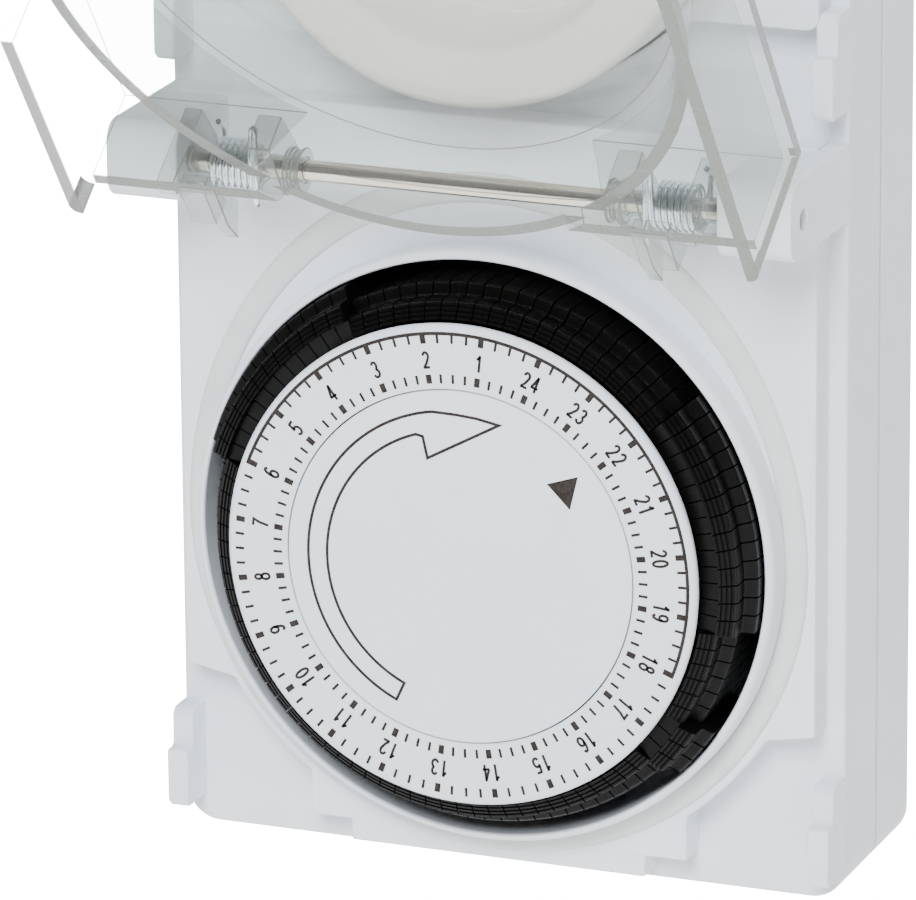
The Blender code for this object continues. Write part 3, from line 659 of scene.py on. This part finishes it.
def mark_rims(lid):
    """Give every wall seen edge-on a darker look: the tint of its own length plus painted shade.

    Slot 1 is for strips of the outer faces behind which a wall runs away and for the rounded
    corners at the hinge end. Slot 2, dark from both sides, is for free rims, for the side walls'
    slim ends at the hinge and for the slim faces of the right corner."""
    bm = bmesh.new()
    bm.from_mesh(lid.data)
    inner = LID_HALF - LID_WALL
    near, far = -LID_U[0], -LID_U[1]
    flush, slim_width = 0.01, 1.6
    for point, normal in (((inner, 0, 0), (1, 0, 0)), ((-inner, 0, 0), (1, 0, 0)),
                          ((0, LID_HOLLOW_Y, 0), (0, 1, 0)), ((0, 0, near - LID_WALL), (0, 0, 1)),
                          ((0, 0, far + LID_WALL), (0, 0, 1)), ((0, -LID_TOP_RIM, 0), (0, 1, 0))):
        bmesh.ops.bisect_plane(bm, geom=bm.verts[:] + bm.edges[:] + bm.faces[:], dist=1e-4,
                               plane_co=point, plane_no=normal)
    bm.normal_update()
    for face in bm.faces:
        x, y, z = face.calc_center_median()
        at_side, at_front = abs(x) > inner, y < LID_HOLLOW_Y
        at_end = z > near - LID_WALL or z < far + LID_WALL
        square = max(abs(c) for c in face.normal) > 0.99
        on_side, on_front = abs(x) > LID_HALF - flush, y < -LID_FRONT + flush
        on_end = z > near - flush or z < far + flush
        strip = (on_side and (at_front or at_end) or on_front and (at_side or at_end)
                 or on_end and (at_side or at_front))
        outline = sum(edge.calc_length() for edge in face.edges)
        slim = 2.0 * face.calc_area() / outline < slim_width
        at_corner = abs(x) > LID_HALF - LID_CORNER and z > near - LID_CORNER
        free_rim = face.normal.y > 0.9 and y > 3.0 and slim
        free_end = ((on_end and at_side or at_corner) and y > -LID_TOP_RIM - 0.1
                    or at_corner and x > 0.0) and slim
        if square and free_rim or free_end:
            face.material_index = 2
        elif square and strip or at_corner:
            face.material_index = 1
    bm.to_mesh(lid.data)
    bm.free()


def make_lid(name, material, hinge_z, with_drum):
    """One lid, modelled closed round its hinge and then turned open."""
    inner = LID_HALF - LID_WALL
    near, far, beyond = -LID_U[0], -LID_U[1], 1.0 - LID_RIM
    plan = rounded_rectangle(-LID_HALF, LID_HALF, far, near, LID_CORNER)
    lid = solid(prism(plan, -LID_FRONT, -LID_RIM))
    cavity = [(LID_HOLLOW_Y, near - LID_WALL), (-LID_TOP_RIM, near - LID_WALL),
              (-LID_TOP_RIM, near + 1.0), (beyond, near + 1.0), (beyond, far - 1.0),
              (-LID_END_RIM, far - 1.0), (-LID_END_RIM, far + LID_WALL), (LID_HOLLOW_Y, far + LID_WALL)]
    cut(lid, side_prism(cavity, -inner, inner))
    if with_drum:
        join(lid, stack(drum_outline(DRUM_ROOT_N, 0.0), drum_outline(DRUM_RIM_N, 0.0)))
        cut(lid, stack(drum_outline(DRUM_ROOT_N - DRUM_WALL, DRUM_WALL),
                       drum_outline(LID_RIM - 0.9, DRUM_WALL)),
            lid_box(-LID_HALF - 1.0, -LUG_NOTCH_X, 35.0, 57.0, LID_RIM - 1.0, -4.0))
    for side in (-1, 1):
        notch = sorted((side * LUG_NOTCH_X, side * (LID_HALF + 1.0)))
        cut(lid, lid_box(*notch, *LUG_NOTCH_U, LID_RIM - 1.0, LUG_NOTCH_N))
    looks = (material, CLEAR_STRIP, CLEAR_RIM, CLEAR_THICK) if with_drum else (material,) * 4
    for look in looks:
        lid.data.materials.append(look)
    mark_rims(lid)
    soften(lid, 0.09, edge_slot=1)
    fittings = []
    eye = arc(0.0, 0.0, 3.0, 3.0, 0, 180, 20) + [(-2.0, -6.6)]
    for side in (-1, 1):
        for x0, x1, foot in ((19.6, 22.4, [(2.8, -6.6)]), (29.0, 31.1, [(8.5, -6.6), (8.5, -4.6)])):
            ear = solid(side_prism(eye + foot, side * x0, side * x1))
            cut(ear, cross_pin(BORE_R, -36.0, 36.0, 0.0, 0.0))
            fittings.append(ear)
        collar = turned([(BORE_R, -0.9), (2.3, -0.9), (2.5, -0.7), (2.5, -0.2), (2.1, 0.1),
                         (2.1, 0.5), (2.5, 0.8), (2.5, 1.1), (BORE_R, 1.1)], 48)
        bmesh.ops.transform(collar, matrix=Matrix.Translation((side * 18.9, 0.0, 0.0))
                            @ Matrix.Rotation(math.radians(side * 90.0), 4, "Z"), verts=collar.verts)
        fittings.append(solid(collar))
        web = [(7.0, -6.6), (5.4, -0.2), (8.9, -0.4), (8.9, -6.6)]
        tab = [(7.0, -6.6), (5.4, -0.2), (7.9, 3.05), (8.9, -0.4), (8.9, -6.6)]
        for outline, x0, x1 in ((web, 25.3, 28.3), (tab, 24.0, 25.5)):
            fittings.append(solid(side_prism(outline, side * x0, side * x1)))
    for fitting in fittings:
        for look in looks:
            fitting.data.materials.append(look)
        for face in fitting.data.polygons:
            face.material_index = 3
        soften(fitting, 0.14, edge_slot=1)
    made = gathered(lid, *fittings)
    for look in looks:
        made.data.materials.append(look)
    made.location = (0.0, HINGE_Y, hinge_z)
    made.rotation_euler.x = -math.radians(OPEN_ANGLE)
    place(made, f"{name}_moulding", material, name, (name,))


def make_spring(station, hand, side, hinge_z):
    """Torsion spring: hairpin leg on the housing, close coil, and a leg on the lid."""
    x0, x1, turns, radius, per_turn = 23.35, 28.2, 6.5, 2.55, 28
    wire_radius, wire_sides = 0.35, 12
    leg = [(22.7, -1.3, -3.9), (22.7, -2.2, -3.75), (22.7, -2.5, -3.2), (22.7, -2.55, 0.0),
           (22.7, -2.5, 4.3), (22.78, -2.48, 4.75), (22.95, -2.45, 4.98), (23.12, -2.48, 4.75),
           (23.2, -2.5, 4.3), (23.28, -2.55, 1.5)]
    count = round(turns * per_turn)
    coil = []
    for i in range(count + 1):
        a = math.pi + math.tau * i / per_turn
        coil.append((x0 + (x1 - x0) * i / count, radius * math.cos(a), radius * math.sin(a)))
    tail = [(x1 + 0.1, 2.5, 1.6), (x1 + 0.2, 2.3, 3.2), (x1 + 0.25, 1.7, 4.0), (x1 + 0.3, 0.8, 4.3)]
    bm = wire([(side * x, y, z) for x, y, z in leg + coil + tail], wire_radius, wire_sides)
    spring = solid(bm, at=(0.0, HINGE_Y, hinge_z))
    node = f"{station}_spring_{hand}"
    place(spring, f"{node}_wire", ZINC, None, (), 60.0, False)
    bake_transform(spring)
    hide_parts(node)


def make_hinge(station, hinge_z):
    half = 37.0
    profile = [(0.0, -half), (ROD_R - 0.2, -half), (ROD_R, -half + 0.2), (ROD_R, half - 0.2),
               (ROD_R - 0.2, half), (0.0, half)]
    rod = solid(turned(profile, 32), at=(0.0, HINGE_Y, hinge_z))
    rod.rotation_euler.z = math.radians(90.0)
    place(rod, f"{station}_lid_rod_turned", STEEL, "housing", (f"{station}_lid_rod",))
    for hand, side in (("left", -1), ("right", 1)):
        make_spring(station, hand, side, hinge_z)


# ---------------------------------------------------------------- socket and plug

def make_socket():
    at = (0.0, SOCKET_Z)
    insert = solid(turned(
        [(0.0, RECESS_FLOOR_Y), (19.2, RECESS_FLOOR_Y), (19.5, RECESS_FLOOR_Y - 0.3),
         (RECESS_R - 0.02, 2.9), (20.45, 2.2), (20.8, 1.7), (21.3, 1.5), (26.1, 1.5), (26.7, 1.65),
         (27.1, 2.05), (27.2, 2.5), (27.2, 17.8), (0.0, 17.8)], 96, at))
    cut(insert, disc(1.8, 10.0, 20.0, at, 32), disc(3.6, 10.0, RECESS_FLOOR_Y + 1.5, at, 40))
    for side in (-1, 1):
        x = sorted((side * 16.4, side * 19.2))
        cut(insert, disc(3.0, 10.0, 20.0, (0.0, SOCKET_Z + side * PIN_X), 40),
            block(*x, 10.0, 20.0, SOCKET_Z - 3.4, SOCKET_Z + 3.4))
    place(insert, "socket_insert_moulding", CREAM, "housing", ("socket_insert",))
    screw = solid(turned([(0.0, 15.4), (2.6, 15.4), (3.0, 15.6), (3.2, 15.95), (3.2, 16.5), (1.5, 16.5),
                          (1.5, 21.5), (0.0, 21.5)], 40, at))
    cut(screw, block(-2.2, 2.2, 14.0, 16.1, SOCKET_Z - 0.35, SOCKET_Z + 0.35),
        block(-0.35, 0.35, 14.0, 16.1, SOCKET_Z - 2.2, SOCKET_Z + 2.2))
    place(screw, "socket_screw_turned", ZINC, "housing", ("socket_screw",))
    for side, hand in ((-1, "left"), (1, "right")):
        end = BOSS_END_Y + PIN_LENGTH
        profile = [(0.0, 34.0), (PIN_R, 34.0), (PIN_R, 48.4), (3.8, 48.4), (3.8, 51.2), (PIN_R, 51.2),
                   (PIN_R, end - 1.9), (2.2, end - 1.2), (1.75, end - 0.55), (1.1, end - 0.15),
                   (0.5, end), (0.0, end)]
        place(solid(turned(profile, 48, (side * PIN_X, SOCKET_Z))), f"plug_pin_{hand}_turned", PIN,
              "housing", (f"plug_pin_{hand}",))


# ---------------------------------------------------------------- dial

def sector(r0, r1, start, end, y0=PRINT_Y, steps=None):
    """Flat piece of a ring between two angles in degrees."""
    steps = steps or max(1, round((end - start) / 2.0))
    outline = arc(0.0, 0.0, r1, r1, start, end, steps) + arc(0.0, 0.0, r0, r0, end, start, steps)
    return prism(outline, y0, PRINT_BACK_Y)


def line_of(points, width):
    """Flat printed line of even width along a closed run of (x, z) points, with mitred corners."""
    count = len(points)
    rails = ([], [])
    for i, point in enumerate(points):
        here = Vector(point)
        before = (here - Vector(points[i - 1])).normalized()
        after = (Vector(points[(i + 1) % count]) - here).normalized()
        run = (before + after).normalized()
        offset = Vector((-run.y, run.x)) * (width / 2.0 / max(0.3, run.dot(before)))
        rails[0].append(here + offset)
        rails[1].append(here - offset)
    bm = bmesh.new()
    loops = [[bm.verts.new((p.x, y, p.y)) for p in rail]
             for rail, y in ((rails[0], PRINT_Y), (rails[1], PRINT_Y),
                             (rails[1], PRINT_BACK_Y), (rails[0], PRINT_BACK_Y))]
    for loop, following in zip(loops, loops[1:] + loops[:1]):
        for i in range(count):
            j = (i + 1) % count
            bm.faces.new((loop[i], loop[j], following[j], following[i]))
    return bm


def stroke(points, width):
    """Flat printed stroke along an open line of 2-D points, as an outline."""
    rails = ([], [])
    for i, point in enumerate(points):
        here = Vector(point)
        before = (here - Vector(points[i - 1])).normalized() if i else None
        after = (Vector(points[i + 1]) - here).normalized() if i + 1 < len(points) else None
        run = ((before or after) + (after or before)).normalized()
        offset = Vector((-run.y, run.x)) * (width / 2.0 / max(0.45, run.dot(before or after)))
        rails[0].append(here + offset)
        rails[1].append(here - offset)
    return rails[0] + rails[1][::-1]


def digit_strokes(digit):
    """Centre lines of a narrow upright digit, 1 tall, drawn in open strokes."""
    loop = arc(0.26, 0.31, 0.20, 0.25, 0, 360, 20)
    hook = [(0.06, 0.31), (0.07, 0.55), (0.12, 0.76), (0.21, 0.91), (0.32, 0.94), (0.44, 0.82)]
    return {
        "0": [arc(0.26, 0.5, 0.20, 0.44, 0, 360, 28)],
        "1": [[(0.08, 0.74), (0.21, 0.79), (0.28, 0.93)], [(0.30, 0.0), (0.30, 1.0)]],
        "2": [arc(0.26, 0.71, 0.19, 0.23, 170, -25, 14) + [(0.27, 0.30), (0.07, 0.06)],
              [(0.02, 0.06), (0.49, 0.06)]],
        "3": [arc(0.25, 0.73, 0.17, 0.21, 160, -85, 14), arc(0.25, 0.29, 0.20, 0.23, 85, -165, 16)],
        "4": [[(0.36, 0.0), (0.36, 1.0)], [(0.36, 0.93), (0.06, 0.28)], [(0.02, 0.28), (0.53, 0.28)]],
        "5": [[(0.47, 0.93), (0.12, 0.93)], [(0.14, 0.97), (0.09, 0.45)],
              arc(0.26, 0.32, 0.20, 0.26, 150, -150, 18)],
        "6": [loop, hook],
        "7": [[(0.03, 0.93), (0.49, 0.93), (0.32, 0.55), (0.21, 0.0)]],
        "8": [arc(0.26, 0.74, 0.165, 0.20, 0, 360, 18), arc(0.26, 0.29, 0.20, 0.24, 0, 360, 20)],
        "9": [[(0.52 - x, 1.0 - y) for x, y in line] for line in (loop, hook)],
    }[digit]


def numeral(number, angle):
    """An hour number, its top outwards, at an angle in degrees."""
    height, foot, slim, pitch, width = 1.95, 22.86, 0.84, 1.16, 0.3
    a = math.radians(angle)
    out, across = Vector((math.cos(a), math.sin(a))), Vector((math.sin(a), -math.cos(a)))
    text = str(number)
    start = -pitch * len(text) / 2.0
    parts = []
    for i, digit in enumerate(text):
        for line in digit_strokes(digit):
            flat = [(start + pitch * (i + 0.5) + (x - 0.26) * height * slim, y * height)
                    for x, y in line]
            outline = stroke(flat, width)
            parts.append(prism([across * p.x + out * (foot + p.y) for p in outline],
                               PRINT_Y, PRINT_BACK_Y))
    return parts


def make_print():
    """Hour marks and numbers, which turn with the ring, and the arrow on the fixed centre."""
    inner_ticks, outer_ticks, tick_half_length = 21.64, 26.21, 0.52
    hour_half_width, quarter_half_width = 0.325, 0.15
    parts = []
    for tick in range(TAPPETS):
        middle = hour_angle(tick / 4.0)
        for radius in (inner_ticks, outer_ticks):
            half = math.degrees((quarter_half_width if tick % 4 else hour_half_width) / radius)
            parts.append(sector(radius - tick_half_length, radius + tick_half_length,
                                middle - half, middle + half, steps=1))
    parts.append(sector(26.62, 27.0, hour_angle(18.0) - 0.7, hour_angle(30.0) + 0.7,
                        PRINT_Y - 0.006))
    for hour in range(1, 25):
        parts += numeral(hour, hour_angle(hour))
    place(solid(merged(parts)), "hour_print", INK, "dial", weighted=False)

    outer = arc(0.0, 0.0, 17.95, 17.95, 245.0, 100.0, 72)
    head = [(-0.3, 17.62), (2.2, 17.42), (4.82, 16.92), (-3.62, 12.28), (-4.17, 14.72)]
    inner = arc(0.0, 0.0, 15.7, 15.7, 108.5, 245.0, 68)
    arrow = line_of(outer + head + inner, 0.33)
    triangle = prism([(10.42, 10.82), (14.05, 12.02), (13.10, 8.13)], PRINT_Y, PRINT_BACK_Y)
    place(solid(merged([arrow, triangle])), "arrow_print", INK, "housing",
          weighted=False)


def tappet(hour, shift):
    """One quarter-hour tappet with a ridged, sloping grip."""
    margin, pitch = 0.16, 360.0 / TAPPETS
    start = hour_angle(hour) + margin
    grip = []
    ridges, r0, r1, y0, y1 = 4, 28.0, 29.95, 1.45, 2.5
    for i in range(ridges):
        for t, lift in ((0.0, 0.0), (0.12, 0.16), (0.62, 0.16), (0.78, 0.0)):
            s = (i + t) / ridges
            grip.append((r0 + (r1 - r0) * s, y0 + (y1 - y0) * s - lift))
    profile = ([(22.9, 2.4), (27.95, 2.4)] + grip
               + [(29.95, 2.5), (29.95, 4.5), (30.1, 4.75), (31.1, 5.15), (31.3, 5.4), (31.3, 16.4),
                  (29.5, 16.4), (29.5, 9.6), (22.9, 9.6)])
    return turned([(r + shift, y) for r, y in profile], TAPPETS * 2, turn=pitch - 2.0 * margin,
                  start=start)


def make_tappets():
    marks = {h for run in PUSHED_OUT for h in run}
    for hour in SINGLE_HOURS:
        marks |= {hour, hour + 0.25}
    marks = sorted(marks)
    banks = 0
    for first, last in zip(marks, marks[1:] + [marks[0] + 24.0]):
        if first in SINGLE_HOURS:
            number = SINGLE_HOURS.index(first) + 1
            made = solid(tappet(first, 0.0))
            place(made, f"tappet_{number}_ridged", BLACK, f"tappet_{number}", (f"tappet_{number}",),
                  25.0, False)
            continue
        banks += 1
        out = any(a <= first and last <= b for a, b in PUSHED_OUT)
        shift = TAPPET_TRAVEL if out else 0.0
        row = [tappet(first + 0.25 * i, shift) for i in range(round((last - first) * 4))]
        place(solid(merged(row)), f"tappet_bank_{banks}_ridged", BLACK, "dial",
              (f"tappet_bank_{banks}",), 25.0, False)


def make_dial():
    centre = GAP_R - RING_GAP
    place(solid(turned([(0.0, 0.0), (centre - 0.08, 0.0), (centre, 0.06), (centre, 1.6), (0.0, 1.6)],
                       120)), "centre_disc_face", PRINTED, "housing", ("centre_disc",))
    ring = GAP_R + RING_GAP
    place(solid(turned(
        [(ring, 0.06), (ring + 0.08, 0.0), (26.95, 0.0), (27.25, 0.08), (27.5, 0.25), (27.7, 0.5),
         (DISC_R, 0.84), (27.7, 1.2), (27.5, 1.6), (27.0, 2.0), (ring, 2.0)], 144)),
        "hour_ring_face", PRINTED, "dial", ("hour_ring",))
    make_print()
    make_tappets()


def dress_cad_nodes():
    """Materials for the CAD nodes that stay."""
    looks = {"body_seal": RUBBER, "timer_chassis": GREY, "dial_gear": GEAR, "idler_gear": GEAR,
             "switch_lever": GEAR, "microswitch": BLACK, "tappet_carrier": BLACK, "motor": TIN,
             "dial_spindle": STEEL, "idler_axle": STEEL, "motor_pinion": BRASS,
             "earth_bracket": BRASS, "plug_earth_bracket": BRASS, "contact_sleeve_upper": BRASS,
             "contact_sleeve_lower": BRASS, "neutral_link": BRASS, "live_bar": BRASS,
             "switched_bar": BRASS}
    for name, look in looks.items():
        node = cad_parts[name]
        node.data.materials.clear()
        node.data.materials.append(look)
        rounding = node.modifiers.new("rounding", "BEVEL")
        rounding.width = 0.12 * MM
        rounding.limit_method = "ANGLE"
        rounding.angle_limit = math.radians(50.0)


# ---------------------------------------------------------------- studio

SEEN_BOOST = 22.0


def boosted(nodes, plain, mirrored):
    """A brightness that is higher for what is seen directly or in a reflection."""
    path = nodes.add("ShaderNodeLightPath")
    total = None
    for output, extra in (("Is Camera Ray", SEEN_BOOST), ("Is Glossy Ray", mirrored)):
        made = nodes.add("ShaderNodeMath", operation="MULTIPLY_ADD")
        nodes.link(path.outputs[output], made.inputs[0])
        made.inputs[1].default_value = extra
        if total is None:
            made.inputs[2].default_value = plain
        else:
            nodes.link(total, made.inputs[2])
        total = made.outputs["Value"]
    return total


def make_studio():
    world = bpy.data.worlds.new("studio")
    bpy.context.scene.world = world
    world.use_nodes = True
    nodes = Nodes(world.node_tree)
    background = world.node_tree.nodes["Background"]
    direction = nodes.add("ShaderNodeSeparateXYZ")
    nodes.link(nodes.add("ShaderNodeTexCoord").outputs["Generated"], direction.inputs["Vector"])
    shade = None
    for axis, low, high, start, end in (("Z", 0.7, 0.85, -0.5, 0.8), ("X", 0.6, 0.25, -0.8, 0.7),
                                        ("Y", 0.25, 1.0, -0.95, -0.1)):
        part = nodes.spread(direction.outputs[axis], low, high, start, end)
        if shade is None:
            shade = part
            continue
        product = nodes.add("ShaderNodeMath", operation="MULTIPLY")
        nodes.link(shade, product.inputs[0])
        nodes.link(part, product.inputs[1])
        shade = product.outputs["Value"]
    strength = nodes.add("ShaderNodeMath", operation="MULTIPLY")
    nodes.link(shade, strength.inputs[0])
    nodes.link(boosted(nodes, 1.0, 0.2), strength.inputs[1])
    nodes.link(strength.outputs["Value"], background.inputs["Strength"])
    background.inputs["Color"].default_value = (0.97, 0.985, 1.0, 1.0)

    floor_radius, floor_drop = 3.0, 0.03
    bm = bmesh.new()
    bmesh.ops.create_circle(bm, cap_ends=True, segments=64, radius=floor_radius)
    mesh = bpy.data.meshes.new("floor")
    bm.to_mesh(mesh)
    bm.free()
    floor = bpy.data.objects.new("floor", mesh)
    floor.location = (0.0, 0.0, cad_box[0].z - floor_drop)
    bpy.context.scene.collection.objects.link(floor)
    made, nodes, shader = blank("floor_white")
    clouds = nodes.spread(nodes.noise(4.0), 0.0, 1.0)
    nodes.link(nodes.mix(clouds, (0.84, 0.84, 0.84), (0.87, 0.87, 0.87)), shader.inputs["Base Color"])
    shader.inputs["Roughness"].default_value = 0.8
    shader.inputs["Emission Color"].default_value = (1.0, 1.0, 1.0, 1.0)
    nodes.link(boosted(nodes, 0.7, 0.6), shader.inputs["Emission Strength"])
    mesh.materials.append(made)

    aim_at = Vector((0.0, -0.05, -0.02))
    for name, place_at, size, power, colour in (
            ("key", (0.15, -1.15, 0.78), 0.6, 35.0, (0.91, 0.96, 1.0)),
            ("fill", (1.2, -0.4, 0.2), 0.8, 1.5, (1.0, 0.82, 0.68)),
            ("back", (0.3, 1.0, 0.9), 1.0, 12.0, (1.0, 1.0, 1.0))):
        lamp = bpy.data.lights.new(name, "AREA")
        lamp.size = size
        lamp.energy = power
        lamp.color = colour
        obj = bpy.data.objects.new(name, lamp)
        obj.location = place_at
        obj.rotation_euler = (aim_at - obj.location).to_track_quat("-Z", "Y").to_euler()
        obj.visible_glossy = name != "key"
        bpy.context.scene.collection.objects.link(obj)


def make_camera():
    azimuth, elevation, roll = math.radians(21.62), math.radians(17.52), math.radians(-0.47)
    distance = 0.9181
    target = DIAL + Vector((0.0, 0.0, 0.0136))
    back = Vector((math.sin(azimuth) * math.cos(elevation),
                   -math.cos(azimuth) * math.cos(elevation), math.sin(elevation)))
    right = Vector((math.cos(azimuth), math.sin(azimuth), 0.0))
    up = back.cross(right)
    tilted_right = right * math.cos(roll) + up * math.sin(roll)
    tilted_up = up * math.cos(roll) - right * math.sin(roll)
    data = bpy.data.cameras.new("camera")
    data.sensor_width = 36.0
    data.lens = 328.95
    data.clip_start, data.clip_end = 0.01, 20.0
    camera = bpy.data.objects.new("camera", data)
    turn = Matrix((tilted_right, tilted_up, back)).transposed().to_4x4()
    camera.matrix_world = Matrix.Translation(target + back * distance) @ turn
    bpy.context.scene.collection.objects.link(camera)
    bpy.context.scene.camera = camera


make_front_cover()
make_rear_cover()
make_gasket()
make_cover_screws()
make_lid("dial_lid", CLEAR, HINGE_Z, True)
make_lid("socket_lid", WHITE, HINGE_Z + STATION_PITCH, False)
make_hinge("dial", HINGE_Z)
make_hinge("socket", HINGE_Z + STATION_PITCH)
make_socket()
make_dial()
dress_cad_nodes()
make_studio()
make_camera()
